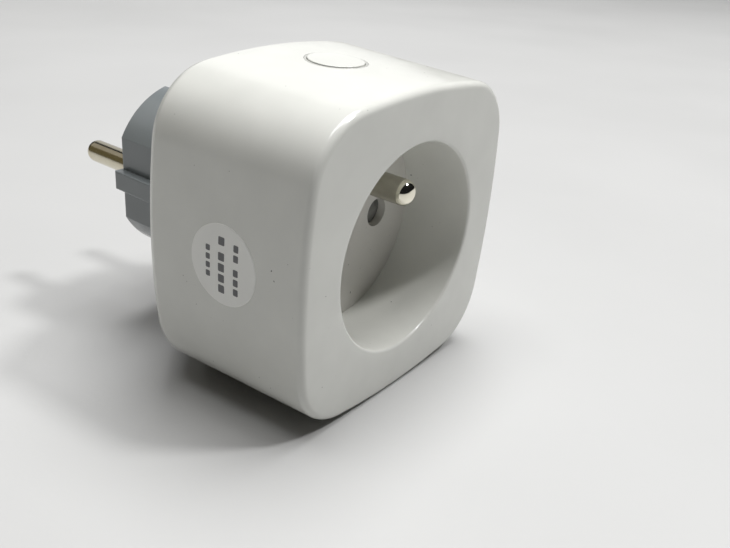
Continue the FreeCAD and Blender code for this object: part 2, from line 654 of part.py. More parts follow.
def relay_cover():
    """Thin box over the relay's works, open towards its base."""
    back = BOARD_Y - RELAY_BASE
    cover = box(RELAY_X0, RELAY_X1, RELAY_FRONT, back, RELAY_Z0, RELAY_Z1)
    cover = fillet_where(cover, 0.6, lambda edge: edge.BoundBox.YMax < back - 0.01)
    return cover.cut(box(RELAY_X0 + RELAY_WALL, RELAY_X1 - RELAY_WALL, RELAY_FRONT + RELAY_WALL, back + 1,
                         RELAY_Z0 + RELAY_WALL, RELAY_Z1 - RELAY_WALL))


def relay_yoke():
    """L-shaped iron frame with the core that runs through the coil to the pole face."""
    back = BOARD_Y - RELAY_BASE
    low, high = RELAY_MIDDLE - YOKE_HALF, RELAY_MIDDLE + YOKE_HALF
    foot = box(YOKE_X, COIL_X + 4.0, back - YOKE_T, back, low, high)
    limb = box(YOKE_X, YOKE_X + YOKE_T, POLE_Y, back, low, high)
    terminal = box(YOKE_X, YOKE_X + YOKE_T, back, TERMINAL_END,
                   RELAY_MIDDLE - TERMINAL_HALF, RELAY_MIDDLE + TERMINAL_HALF)
    core = rod_y(CORE_R, COIL_X, RELAY_MIDDLE, POLE_Y, back - YOKE_T + 0.2)
    return fuse(foot, limb, terminal, core)


def relay_bobbin():
    back = BOARD_Y - RELAY_BASE - YOKE_T
    spool = fuse(rod_y(SPOOL_R, COIL_X, RELAY_MIDDLE, POLE_Y + 0.4, back),
                 *[rod_y(COIL_R + 0.4, COIL_X, RELAY_MIDDLE, y, y + 0.7) for y in (POLE_Y + 0.4, back - 0.7)])
    return spool.cut(rod_y(CORE_R + 0.03, COIL_X, RELAY_MIDDLE, 0, FAR))


def relay_winding():
    back = BOARD_Y - RELAY_BASE - YOKE_T - 0.7
    winding = rod_y(COIL_R, COIL_X, RELAY_MIDDLE, POLE_Y + 1.1, back)
    return winding.cut(rod_y(SPOOL_R, COIL_X, RELAY_MIDDLE, 0, FAR))


def hinge_point():
    """Edge of the yoke limb that the armature rocks on."""
    return vec(YOKE_X, POLE_Y - 0.15, RELAY_MIDDLE)


def opened(shape):
    """Turn a shape drawn with the armature parallel to the pole face to the open position."""
    shape.rotate(hinge_point(), vec(0, 0, 1), -ARMATURE_OPEN_DEG)
    return shape


def relay_armature():
    return opened(box(YOKE_X, COIL_X + 4.6, POLE_Y - 0.2 - ARMATURE_T, POLE_Y - 0.2,
                      RELAY_MIDDLE - YOKE_HALF, RELAY_MIDDLE + YOKE_HALF))


def relay_moving_contact():
    """Spring blade riveted on the armature, with the silver contact at its free end."""
    back = POLE_Y - 0.2 - ARMATURE_T
    blade = box(COIL_X - 3.0, RELAY_X1 - 2.0, back - BLADE_T, back, RELAY_MIDDLE - 2.2, RELAY_MIDDLE + 2.2)
    contact = rod_y(RELAY_CONTACT_R, FIXED_CONTACT_X, RELAY_MIDDLE, back - 0.1, POLE_Y - 0.4)
    return opened(fuse(blade, contact))


def relay_fixed_contact():
    x = FIXED_CONTACT_X
    low, high = RELAY_MIDDLE - TERMINAL_HALF, RELAY_MIDDLE + TERMINAL_HALF
    post = box(x - 0.4, x + 0.4, POLE_Y + 0.9, TERMINAL_END, low, high)
    seat = box(x - 1.6, x + 1.6, POLE_Y + 0.5, POLE_Y + 1.1, low, high)
    return fuse(post, seat, rod_y(RELAY_CONTACT_R, x, RELAY_MIDDLE, POLE_Y - 0.44, POLE_Y + 0.6))


def housing_screws():
    """Four self-tapping screws from the back of the rear cover into the front housing."""
    top = SCREW_SEAT + SCREW_HEAD
    screws = []
    for sx in (-1, 1):
        for sz in (-1, 1):
            x, z = sx * SCREW_X, sz * SCREW_X
            head = rod_y(SCREW_HEAD_R, x, z, SCREW_SEAT, top)
            head = fillet_where(head, 0.6, lambda edge: circle_edge(edge, SCREW_HEAD_R, top))
            drive = fuse(box(x - 1.5, x + 1.5, top - 0.9, top + 1, z - 0.3, z + 0.3),
                         box(x - 0.3, x + 0.3, top - 0.9, top + 1, z - 1.5, z + 1.5))
            screws.append(fuse(head, rod_y(SCREW_R, x, z, SCREW_FRONT, SCREW_SEAT)).cut(drive))
    return Part.makeCompound(screws)


def rating_sticker():
    """Round paper label that follows the curved left side."""
    skin = shell_form(LABEL_T, 1, SHELL_DEPTH - 1).cut(shell_form(0, 0, SHELL_DEPTH))
    return skin.common(rod_x(LABEL_R, LABEL_Y, LABEL_Z, -FAR, 0))


def place(shape):
    moved = shape.copy()
    moved.translate(vec(0, -OVERALL_LENGTH / 2, AXIS_HEIGHT))
    return moved


def build():
    return {
        "front_housing": front_housing(),
        "socket_face": socket_face(),
        "earth_pin": earth_pin(),
        "earth_bar": earth_bar(),
        "shutter": shutter(),
        "shutter_spring": shutter_spring(),
        "contact_carrier": contact_carrier(),
        "line_clip": socket_clip(-CONTACT_X),
        "neutral_clip": socket_clip(CONTACT_X),
        "rear_cover": rear_cover(),
        "plug_plate": plug_plate(),
        "line_pin": plug_pin(-CONTACT_X),
        "neutral_pin": plug_pin(CONTACT_X),
        "plug_earth_tube": plug_earth_tube(),
        "earth_clip_top": earth_clip(1),
        "earth_clip_bottom": earth_clip(-1),
        "light_ring": light_ring(),
        "push_button": push_button(),
        "switch_body": switch_body(),
        "switch_plunger": switch_plunger(),
        "status_light": status_light(),
        "radio_board": radio_board(),
        "radio_chip": radio_chip(),
        "radio_shield": radio_shield(),
        "antenna": antenna(),
        "board_header": board_header(),
        "power_board": power_board(),
        "bulk_capacitor": bulk_capacitor(),
        "filter_capacitor": filter_capacitor(),
        "varistor": varistor(),
        "fuse_resistor": fuse_resistor(),
        "inductor": inductor(),
        "power_chip": power_chip(),
        "rectifier": rectifier(),
        "metering_shunt": metering_shunt(),
        "relay_base": relay_base(),
        "relay_cover": relay_cover(),
        "relay_yoke": relay_yoke(),
        "relay_bobbin": relay_bobbin(),
        "relay_winding": relay_winding(),
        "relay_armature": relay_armature(),
        "relay_moving_contact": relay_moving_contact(),
        "relay_fixed_contact": relay_fixed_contact(),
        "housing_screws": housing_screws(),
        "rating_sticker": rating_sticker(),
    }


def main():
    os.makedirs("parts", exist_ok=True)
    for name, shape in build().items():
        place(shape).exportStep(f"parts/{name}.step")


main()
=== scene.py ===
"""Looks of the compact smart plug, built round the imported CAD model. Lengths are in metres."""
import json
import math

import bmesh
import bpy
from mathutils import Matrix, Vector


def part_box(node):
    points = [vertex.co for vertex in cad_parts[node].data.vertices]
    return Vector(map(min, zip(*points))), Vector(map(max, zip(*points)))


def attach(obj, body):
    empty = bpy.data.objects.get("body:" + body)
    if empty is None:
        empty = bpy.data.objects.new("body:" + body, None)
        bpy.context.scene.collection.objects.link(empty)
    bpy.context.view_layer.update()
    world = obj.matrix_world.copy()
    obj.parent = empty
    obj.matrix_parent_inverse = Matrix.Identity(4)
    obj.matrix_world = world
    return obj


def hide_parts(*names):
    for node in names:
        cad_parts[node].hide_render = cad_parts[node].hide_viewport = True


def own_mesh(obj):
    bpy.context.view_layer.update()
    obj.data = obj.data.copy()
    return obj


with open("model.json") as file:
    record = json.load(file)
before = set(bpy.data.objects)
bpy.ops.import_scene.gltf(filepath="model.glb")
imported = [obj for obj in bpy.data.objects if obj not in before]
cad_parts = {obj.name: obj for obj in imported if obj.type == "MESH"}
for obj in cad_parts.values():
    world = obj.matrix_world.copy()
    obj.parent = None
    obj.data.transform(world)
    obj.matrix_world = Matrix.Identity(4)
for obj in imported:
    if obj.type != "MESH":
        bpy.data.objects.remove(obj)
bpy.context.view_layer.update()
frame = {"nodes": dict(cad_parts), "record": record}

MM = 0.001
SHARP_DEG = 35.0                 # edges sharper than this stay sharp

# ---- camera, which looks down at the plug from its front left ----
CAMERA_PLACE = Vector((-0.10872, -0.10801, 0.08704))
CAMERA_AIM = Vector((-0.00633, -0.03494, 0.02553))
CAMERA_ROLL = math.radians(5.3)
CAMERA_LENS = 38.65

# ---- the white shell, as in the CAD design except for its rear edge ----
FRONT_HALF = 28.8 * MM
DRAFT = 1.4 * MM
FRONT_CORNER = 12.4 * MM
SIDE_BULGE = 140.0 * MM
WALL = 2.0 * MM
FRONT_WALL = 2.2 * MM
FRONT_ROUND = 1.3 * MM
# profile of the rear edge: distance ahead of the rear, distance inwards
REAR_EDGE = ((0.0, 0.8 * MM), (0.1 * MM, 0.58 * MM), (0.3 * MM, 0.42 * MM),
             (1.25 * MM, 0.06 * MM), (1.35 * MM, 0.03 * MM), (1.6 * MM, 0.0))
RECESS_R = 19.5 * MM
RECESS_DEPTH = 15.0 * MM
RECESS_LIP = 0.5 * MM
RECESS_WALL = 1.8 * MM
OUTLINE_SIDE_STEPS = 26          # points along each side of the outline
OUTLINE_CORNER_STEPS = 16        # points round each corner of it
SIDE_STEPS = 12                  # rings along the outside
FRONT_ROUND_STEPS = 10           # rings round the front edge
FACE_STEPS = 6                   # rings across the front face
LIP_STEPS = 6                    # rings round the lip of the recess
RECESS_STEPS = 8                 # rings down the recess

# ---- the button and the light ring ----
BUTTON_HOLE_R = 5.75 * MM
HOLE_CUTTER_HEIGHT = 12 * MM
BUTTON_R = 5.15 * MM
BUTTON_PROUD = 0.2 * MM          # the button's rim stands this far above the shell's top
RING_IN = 5.25 * MM
RING_OUT = 5.7 * MM
RING_SOFT = 0.05 * MM
RING_FLANGE_R = 6.9 * MM
RING_FLANGE_TOP = 5.2 * MM       # above the foot of the ring's leg
RING_FLANGE_T = 0.9 * MM
RING_LEG_X = 6.1 * MM
RING_LEG_R = 0.75 * MM
CAP_SOFT = 0.12 * MM
CAP_DISH = 0.08 * MM
CAP_BASE = 2.35 * MM             # above the foot of the button's stem
STEM_R = 1.6 * MM
STEM_FILLET = 0.2 * MM
RING_STEPS = 96                  # points round the button and the ring

# ---- the socket's earth pin ----
PIN_DOME = 1.9 * MM              # polished this far back from its tip

# ---- the shutter's spring ----
SPRING_WIRE_R = 0.2 * MM
SPRING_TURNS = 9
SPRING_STEPS = 24                # stations in one turn
SPRING_SIDES = 10                # points round the wire

# ---- the label ----
LABEL_T = 0.12 * MM
LABEL_SOFT = 0.32 * MM
LABEL_STEPS = 128
INK_T = 0.012 * MM
INK_SOFT = 0.2 * MM
BLOCK_GAP = 0.5 * MM
WORD_GAP = 1.3 * MM
# each row of blocks: place along the label, block width, block length, blocks in each word
BLOCK_ROWS = ((3.3 * MM, 0.95 * MM, 1.05 * MM, (4,)),
              (0.3 * MM, 1.35 * MM, 1.45 * MM, (4, 1)),
              (-2.9 * MM, 1.05 * MM, 1.25 * MM, (3, 2)))

# ---- lights: name, place from the middle of the front face, diameter, power, tint ----
LIGHTS = (
    ("overhead", (0.42, 0.1, 1.5), 1.0, 25.0, (1.0, 1.0, 1.0)),
    ("overhead_left", (-0.25, 0.3, 1.5), 0.6, 6.5, (1.0, 1.0, 1.0)),
    ("back_card", (1.3, 1.5, 0.7), 1.6, 3.5, (1.0, 1.0, 1.0)),
    ("olive_card", (-0.8, 1.3, 0.4), 1.0, 0.3, (1.0, 0.83, 0.4)),
    ("beige_card", (-0.25, 1.3, 0.95), 0.8, 0.6, (1.0, 0.93, 0.82)),
    ("key", (0.5246, -0.6157, 1.3805), 0.2, 11.5, (1.0, 1.0, 1.0)),
)
FLOOR_REACH = 3.0                # the floor goes this far each way from the plug

# ---- materials ----
WHITE = (0.715, 0.718, 0.678)
# the shell's white made darker and warmer for the parts in the recess: painted shade of the recess
RECESS_SHADED_WHITE = (0.70, 0.685, 0.64)
TARNISH = (0.8, 0.72, 0.6)       # times a metal's colour, where it is rubbed or tarnished
TRACK_SCALE = 260.0              # of the brick pattern on a board, whose bricks are then 1.9 mm long
MIX_FIRST = 6                    # places of the colour sockets on the Mix node
MIX_SECOND = 7
MIX_RESULT = 2


def middle(node):
    """Middle of a CAD node's box."""
    low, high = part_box(node)
    return (low + high) / 2


shell_low, shell_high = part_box("front_housing")
FRONT_Y = shell_low.y
SHELL_DEPTH = shell_high.y - shell_low.y
AXIS_Z = middle("line_pin").z
BUTTON_MIDDLE = middle("push_button")


# ---------------------------------------------------------------- camera, floor and light

def aim(obj, target, roll=0.0):
    """Turn a camera or lamp so that it looks at the target."""
    turn = (target - obj.location).to_track_quat("-Z", "Y").to_matrix()
    obj.rotation_euler = (turn @ Matrix.Rotation(roll, 3, "Z")).to_euler()


def make_camera():
    """Camera at the fitted place, looking down at the plug."""
    data = bpy.data.cameras.new("camera")
    data.lens = CAMERA_LENS
    data.sensor_width = 36.0
    data.clip_start = 0.005
    data.clip_end = 20.0
    camera = bpy.data.objects.new("camera", data)
    bpy.context.scene.collection.objects.link(camera)
    camera.location = CAMERA_PLACE
    aim(camera, CAMERA_AIM, CAMERA_ROLL)
    bpy.context.scene.camera = camera


def make_lights():
    """Two soft lights overhead, a key light from the front right, and cards behind for the metal."""
    target = Vector((0.0, FRONT_Y, AXIS_Z))
    for name, place, diameter, power, tint in LIGHTS:
        data = bpy.data.lights.new(name, "AREA")
        data.shape = "DISK"
        data.size = diameter
        data.energy = power
        data.color = tint
        lamp = bpy.data.objects.new(name, data)
        bpy.context.scene.collection.objects.link(lamp)
        lamp.location = target + Vector(place)
        lamp.visible_camera = False
        aim(lamp, target)


def make_floor():
    """Pale floor that lies along the drafted underside, as the plug really rests on it."""
    slope = DRAFT / SHELL_DEPTH
    corners = []
    for x, y in ((-1, -1), (1, -1), (1, 1), (-1, 1)):
        height = (shell_high.y - FLOOR_REACH * y) * slope
        corners.append((FLOOR_REACH * x, FLOOR_REACH * y, height))
    mesh = bpy.data.meshes.new("floor")
    mesh.from_pydata(corners, [], [(0, 1, 2, 3)])
    floor = bpy.data.objects.new("floor", mesh)
    bpy.context.scene.collection.objects.link(floor)
    floor.data.materials.append(floor_material())


def make_world():
    """Faint cool fill from all round."""
    world = bpy.data.worlds.new("studio")
    world.use_nodes = True
    back = world.node_tree.nodes["Background"]
    back.inputs["Color"].default_value = (0.92, 0.95, 1.0, 1.0)
    back.inputs["Strength"].default_value = 0.012
    bpy.context.scene.world = world


# ---------------------------------------------------------------- materials

class Graph:
    """A material's node tree, with short calls to add and join nodes."""

    def __init__(self, name):
        self.material = bpy.data.materials.new(name)
        self.material.use_nodes = True
        self.tree = self.material.node_tree
        self.shader = self.tree.nodes["Principled BSDF"]
        self.place = self.add("ShaderNodeTexCoord").outputs["Object"]

    def add(self, kind, **values):
        node = self.tree.nodes.new(kind)
        for key, value in values.items():
            setattr(node, key, value)
        return node

    def join(self, source, target):
        self.tree.links.new(source, target)

    def noise(self, size, detail=2.0, stretch=(1.0, 1.0, 1.0)):
        """Noise whose blobs are about this size, in metres."""
        mapping = self.add("ShaderNodeMapping")
        mapping.inputs["Scale"].default_value = stretch
        self.join(self.place, mapping.inputs["Vector"])
        node = self.add("ShaderNodeTexNoise")
        node.inputs["Scale"].default_value = 1.0 / size
        node.inputs["Detail"].default_value = detail
        self.join(mapping.outputs["Vector"], node.inputs["Vector"])
        return node.outputs["Fac"]

    def spread(self, value, low, high, span=(0.3, 0.7)):
        """The value's usual span mapped to low..high."""
        node = self.add("ShaderNodeMapRange")
        node.inputs["From Min"].default_value = span[0]
        node.inputs["From Max"].default_value = span[1]
        node.inputs["To Min"].default_value = low
        node.inputs["To Max"].default_value = high
        self.join(value, node.inputs["Value"])
        return node.outputs["Result"]

    def mix(self, factor, first, second):
        """Colour mix. first and second are colours or sockets."""
        node = self.add("ShaderNodeMix", data_type="RGBA")
        self.join(factor, node.inputs["Factor"])
        for socket, value in ((node.inputs[MIX_FIRST], first), (node.inputs[MIX_SECOND], second)):
            if isinstance(value, tuple):
                socket.default_value = (*value, 1.0)
            else:
                self.join(value, socket)
        return node.outputs[MIX_RESULT]

    def bump(self, *layers):
        """Bump from (height socket, depth in metres) layers, one on the other."""
        normal = None
        for height, depth in layers:
            node = self.add("ShaderNodeBump")
            node.inputs["Distance"].default_value = depth
            self.join(height, node.inputs["Height"])
            if normal:
                self.join(normal, node.inputs["Normal"])
            normal = node.outputs["Normal"]
        self.join(normal, self.shader.inputs["Normal"])


def shade(colour, factor):
    """The colour made darker or lighter."""
    return tuple(min(1.0, c * factor) for c in colour)


def moulded_plastic(name, colour, rough, grain=0.25 * MM, depth=0.001 * MM, dust=0.0, ior=1.5):
    """Injection-moulded plastic: fine spark-eroded grain, handling marks, optional dust specks."""
    g = Graph(name)
    tone = g.mix(g.spread(g.noise(9 * MM, 3.0), 0.0, 1.0), shade(colour, 0.965), shade(colour, 1.02))
    fine = g.noise(grain, 3.0)
    if dust:
        specks = g.spread(g.noise(0.7 * MM, 1.0), 0.0, 1.0, (0.81 - dust, 0.83 - dust))
        tone = g.mix(specks, tone, shade(colour, 0.3))
    g.join(tone, g.shader.inputs["Base Color"])
    smudges = g.noise(6 * MM, 3.0, (1.0, 1.0, 0.6))
    g.join(g.spread(smudges, rough - 0.04, rough + 0.04), g.shader.inputs["Roughness"])
    g.shader.inputs["IOR"].default_value = ior
    g.bump((g.noise(7 * MM, 1.0), 0.012 * MM), (fine, depth))
    return g.material


def metal(name, colour, rough, streak=(1.0, 1.0, 1.0)):
    """Plated or drawn metal: fine streaks, rubbed patches and slight tarnish."""
    g = Graph(name)
    worn = g.spread(g.noise(3.5 * MM, 2.0), 0.0, 0.3)
    tarnished = tuple(c * t for c, t in zip(colour, TARNISH))
    g.join(g.mix(worn, colour, tarnished), g.shader.inputs["Base Color"])
    g.shader.inputs["Metallic"].default_value = 1.0
    lines = g.noise(0.25 * MM, 3.0, streak)
    g.join(g.spread(lines, rough - 0.04, rough + 0.04), g.shader.inputs["Roughness"])
    g.bump((lines, 0.0003 * MM))
    return g.material


def domed_pin_metal(name, colour, dome_end):
    """Plated pin: satin along its length, polished on the dome, which lies in front of dome_end."""
    g = Graph(name)
    split = g.add("ShaderNodeSeparateXYZ")
    g.join(g.place, split.inputs["Vector"])
    shank = g.spread(split.outputs["Y"], 0.0, 1.0, (dome_end - 0.1 * MM, dome_end + 0.1 * MM))
    worn = g.spread(g.noise(2.5 * MM, 4.0), 0.0, 1.0)
    # the colour is lighter on the dome, 1.2 times the given colour, and darker along the shank, 0.62 to
    # 0.72 times it
    darker_shank = g.mix(worn, shade(colour, 0.62), shade(colour, 0.72))
    g.join(g.mix(shank, shade(colour, 1.2), darker_shank), g.shader.inputs["Base Color"])
    g.shader.inputs["Metallic"].default_value = 1.0
    scuffs = g.noise(0.3 * MM, 3.0)
    polished = (0.1, 0.1, 0.1)
    g.join(g.mix(shank, polished, g.spread(scuffs, 0.34, 0.46)), g.shader.inputs["Roughness"])
    g.bump((scuffs, 0.001 * MM))
    return g.material


def floor_material():
    """Off-white board, faintly mottled, with a fine tooth."""
    g = Graph("pale_floor")
    mottle = g.spread(g.noise(120 * MM, 4.0), 0.0, 1.0)
    g.join(g.mix(mottle, (0.485, 0.485, 0.48), (0.515, 0.515, 0.51)), g.shader.inputs["Base Color"])
    g.shader.inputs["Roughness"].default_value = 0.55
    g.bump((g.noise(1.2 * MM, 3.0), 0.02 * MM))
    return g.material


def board_material(name, colour):
    """Solder mask over copper tracks: darker and lighter green in straight runs."""
    g = Graph(name)
    brick = g.add("ShaderNodeTexBrick")
    brick.inputs["Scale"].default_value = TRACK_SCALE
    brick.inputs["Color1"].default_value = (*shade(colour, 1.3), 1.0)
    brick.inputs["Color2"].default_value = (*shade(colour, 0.9), 1.0)
    brick.inputs["Mortar"].default_value = (*shade(colour, 0.7), 1.0)
    g.join(g.place, brick.inputs["Vector"])
    g.join(brick.outputs["Color"], g.shader.inputs["Base Color"])
    g.join(g.spread(g.noise(1.0 * MM), 0.28, 0.4), g.shader.inputs["Roughness"])
    g.bump((brick.outputs["Fac"], 0.01 * MM))
    return g.material


def light_guide_material(name, colour):
    """Clouded clear plastic that lets some light through."""
    g = Graph(name)
    g.join(g.mix(g.noise(2 * MM), shade(colour, 0.9), colour), g.shader.inputs["Base Color"])
    g.join(g.spread(g.noise(0.4 * MM), 0.25, 0.4), g.shader.inputs["Roughness"])
    g.shader.inputs["Transmission Weight"].default_value = 0.35
    g.shader.inputs["IOR"].default_value = 1.49
    return g.material


def slot_materials():
    """One finish for each material slot of the record, and one each for the earth pin and the ink."""
    pin_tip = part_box("earth_pin")[0].y
    return {
        "white_shell": moulded_plastic("white_shell", WHITE, 0.20, dust=0.01),
        # parts in the recess: the white with the recess's shade painted in, a rougher finish and more dust
        "recess_white": moulded_plastic("recess_white", RECESS_SHADED_WHITE, 0.34, dust=0.03),
        "grey_plastic": moulded_plastic("grey_plastic", (0.20, 0.22, 0.226), 0.22, grain=0.3 * MM, ior=1.6),
        "light_guide": light_guide_material("light_guide", shade(WHITE, 1.04)),
        "shutter_grey": moulded_plastic("shutter_grey", (0.30, 0.30, 0.28), 0.45),
        "carrier_plastic": moulded_plastic("carrier_plastic", (0.05, 0.05, 0.055), 0.5),
        "nickel": metal("nickel", (0.66, 0.62, 0.50), 0.2, (1.0, 0.08, 1.0)),
        "earth_pin": domed_pin_metal("earth_pin", (0.70, 0.67, 0.57), pin_tip + PIN_DOME),
        "contact_brass": metal("contact_brass", (0.78, 0.56, 0.28), 0.3),
        "spring_steel": metal("spring_steel", (0.56, 0.56, 0.56), 0.3),
        "iron": metal("iron", (0.45, 0.46, 0.47), 0.4),
        "copper_wire": metal("copper_wire", (0.70, 0.32, 0.16), 0.35, (1.0, 12.0, 1.0)),
        "relay_plastic": moulded_plastic("relay_plastic", (0.03, 0.09, 0.30), 0.4),
        "relay_base_plastic": moulded_plastic("relay_base_plastic", (0.03, 0.03, 0.03), 0.45),
        "board": board_material("board", (0.015, 0.10, 0.035)),
        "black_epoxy": moulded_plastic("black_epoxy", (0.015, 0.015, 0.016), 0.5),
        "switch_plastic": moulded_plastic("switch_plastic", (0.55, 0.50, 0.42), 0.45),
        "led": light_guide_material("led", (0.85, 0.82, 0.6)),
        "shield_tin": metal("shield_tin", (0.70, 0.71, 0.72), 0.32),
        "can_aluminium": metal("can_aluminium", (0.16, 0.16, 0.22), 0.35),
        "film_capacitor": moulded_plastic("film_capacitor", (0.60, 0.42, 0.06), 0.35),
        "varistor_coat": moulded_plastic("varistor_coat", (0.03, 0.08, 0.40), 0.3),
        "resistor_ceramic": moulded_plastic("resistor_ceramic", (0.20, 0.30, 0.22), 0.5),
        "shunt_alloy": metal("shunt_alloy", (0.55, 0.40, 0.30), 0.35),
        "label": moulded_plastic("label", (0.88, 0.88, 0.845), 0.40, grain=0.1 * MM, depth=0.0005 * MM),
        "ink": moulded_plastic("ink", (0.14, 0.14, 0.145), 0.5, grain=0.1 * MM, depth=0.0005 * MM),
    }


def dress_cad_nodes(materials):
    """Give each CAD node the material of its own name, or else the one of its slot."""
    for entry in frame["record"]["subparts"]:
        name = entry["node"]
        node = frame["nodes"][name]
        node.data.materials.clear()
        node.data.materials.append(materials[name if name in materials else entry["material_slot"]])


# ---------------------------------------------------------------- mesh helpers

def finish_mesh(name, bm, material, sharp_deg=SHARP_DEG):
    """Turn a bmesh into a linked object with smooth shading that keeps its sharp edges."""
    bmesh.ops.recalc_face_normals(bm, faces=bm.faces)
    mesh = bpy.data.meshes.new(name)
    bm.to_mesh(mesh)
    bm.free()
    mesh.shade_smooth()
    mesh.set_sharp_from_angle(angle=math.radians(sharp_deg))
    mesh.materials.append(material)
    obj = bpy.data.objects.new(name, mesh)
    bpy.context.scene.collection.objects.link(obj)
    return obj


def bridge_rings(bm, rings, closed):
    """Quads between rings of equally many points, and from the last to the first if closed."""
    loops = [[bm.verts.new(p) for p in ring] for ring in rings]
    count = len(loops[0])
    pairs = list(zip(loops, loops[1:])) + ([(loops[-1], loops[0])] if closed else [])
    for near, far in pairs:
        for i in range(count):
            j = (i + 1) % count
            bm.faces.new((near[i], near[j], far[j], far[i]))
    return loops


def cap_ends(bm, loops):
    """Close the first and the last loop of an open run of rings."""
    bm.faces.new(loops[0])
    bm.faces.new(loops[-1])


def turn_steps(count):
    """Angles of this many even steps round a full turn."""
    return [2 * math.pi * i / count for i in range(count)]


def quarter_steps(steps):
    """Angles from nought to a quarter turn."""
    return [math.pi / 2 * i / steps for i in range(steps + 1)]


def rounded_square(half, corner, bulge):
    """Points (x, z) of the casing's outline: four bulged sides joined by tangent corner arcs."""
    reach = bulge - half
    side = (-reach + math.sqrt(2 * (bulge - corner) ** 2 - reach ** 2)) / 2
    lean = math.atan2(side, side + reach)
    points = []
    for turn in range(4):
        quarter = turn * math.pi / 2
        for i in range(OUTLINE_SIDE_STEPS):
            a = quarter - lean + 2 * lean * i / OUTLINE_SIDE_STEPS
            points.append((-reach * math.sin(quarter) + bulge * math.sin(a),
                           -reach * math.cos(quarter) + bulge * math.cos(a)))
        diagonal = quarter + math.pi / 4
        sweep = math.pi / 2 - 2 * lean
        for i in range(OUTLINE_CORNER_STEPS):
            a = diagonal - sweep / 2 + sweep * i / OUTLINE_CORNER_STEPS
            points.append((side * math.sqrt(2) * math.sin(diagonal) + corner * math.sin(a),
                           side * math.sqrt(2) * math.cos(diagonal) + corner * math.cos(a)))
    return points


def cut_out(obj, cutter):
    """Cut one closed mesh out of another and drop the cutter."""
    tool = obj.modifiers.new("cut", "BOOLEAN")
    tool.operation = "DIFFERENCE"
    tool.solver = "EXACT"
    tool.object = cutter
    bpy.context.view_layer.update()
    result = bpy.data.meshes.new_from_object(obj.evaluated_get(bpy.context.evaluated_depsgraph_get()))
    obj.modifiers.clear()
    obj.data = result
    bpy.data.objects.remove(cutter)


# ---------------------------------------------------------------- the white shell

def shell_ring(y, inset=0.0):
    """Ring of the drafted shell at this distance behind the front face."""
    out = DRAFT * y / SHELL_DEPTH - inset
    flat = rounded_square(FRONT_HALF + out, FRONT_CORNER + out, SIDE_BULGE + out)
    return [Vector((x, FRONT_Y + y, AXIS_Z + z)) for x, z in flat]


def round_ring(y, radius):
    """Circle about the socket axis whose points lie at the same angles as the shell's."""
    ring = []
    for x, z in rounded_square(FRONT_HALF, FRONT_CORNER, SIDE_BULGE):
        reach = math.hypot(x, z)
        ring.append(Vector((x / reach * radius, FRONT_Y + y, AXIS_Z + z / reach * radius)))
    return ring


def blend_rings(first, last, steps):
    """Rings between two others, without those two."""
    return [[p.lerp(q, i / steps) for p, q in zip(first, last)] for i in range(1, steps)]


def shell_reach(along, y):
    """How far a side of the shell is from the axis, at a place along the side and at this depth."""
    out = DRAFT * (y - FRONT_Y) / SHELL_DEPTH
    bulge = SIDE_BULGE + out
    return math.sqrt(bulge ** 2 - along ** 2) - (bulge - FRONT_HALF - out)


def shell_rings():
    """The skin's rings: over the outside and the front face, down the recess, and back behind them."""
    rings = [shell_ring(SHELL_DEPTH, WALL)]
    for ahead, inset in REAR_EDGE:
        rings.append(shell_ring(SHELL_DEPTH - ahead, inset))
    start = SHELL_DEPTH - REAR_EDGE[-1][0]
    for i in range(1, SIDE_STEPS):
        rings.append(shell_ring(start + (FRONT_ROUND - start) * i / SIDE_STEPS))
    for a in quarter_steps(FRONT_ROUND_STEPS):
        rings.append(shell_ring(FRONT_ROUND * (1 - math.sin(a)), FRONT_ROUND * (1 - math.cos(a))))
    lip = round_ring(0.0, RECESS_R + RECESS_LIP)
    rings += blend_rings(rings[-1], lip, FACE_STEPS)
    for a in quarter_steps(LIP_STEPS):
        rings.append(round_ring(RECESS_LIP * (1 - math.cos(a)), RECESS_R + RECESS_LIP * (1 - math.sin(a))))
    rings += blend_rings(rings[-1], round_ring(RECESS_DEPTH, RECESS_R), RECESS_STEPS)
    rings.append(round_ring(RECESS_DEPTH, RECESS_R))
    rings.append(round_ring(RECESS_DEPTH, RECESS_R + RECESS_WALL))
    rings.append(round_ring(FRONT_WALL, RECESS_R + RECESS_WALL))
    rings.append(shell_ring(FRONT_WALL, WALL))
    return rings


def white_shell(material):
    """Shell, front face and recess wall as one closed skin, with the hole for the button."""
    bm = bmesh.new()
    bridge_rings(bm, shell_rings(), closed=True)
    shell = finish_mesh("white_shell_skin", bm, material)
    low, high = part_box("light_ring")
    hole_place = ((low.x + high.x) / 2, (low.y + high.y) / 2, high.z)
    bpy.ops.mesh.primitive_cylinder_add(vertices=RING_STEPS, radius=BUTTON_HOLE_R,
                                        depth=HOLE_CUTTER_HEIGHT, location=hole_place)
    cut_out(shell, bpy.context.object)
    shell.data.shade_smooth()
    shell.data.set_sharp_from_angle(angle=math.radians(SHARP_DEG))
    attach(shell, "casing")
    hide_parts("front_housing")


# ---------------------------------------------------------------- button, light ring and label

def top_point(x, y, lift):
    """Point this far above the curved top of the shell."""
    return Vector((x, y, AXIS_Z + shell_reach(x, y) + lift))


def button_circle(radius):
    """Places (x, y) on a circle round the button's centre."""
    return [(BUTTON_MIDDLE.x + radius * math.cos(a), BUTTON_MIDDLE.y + radius * math.sin(a))
            for a in turn_steps(RING_STEPS)]


def top_ring(radius, lift):
    """Ring round the button's centre that follows the curved top of the shell."""
    return [top_point(x, y, lift) for x, y in button_circle(radius)]


def level_ring(radius, z):
    """Flat ring round the button's centre."""
    return [Vector((x, y, z)) for x, y in button_circle(radius)]


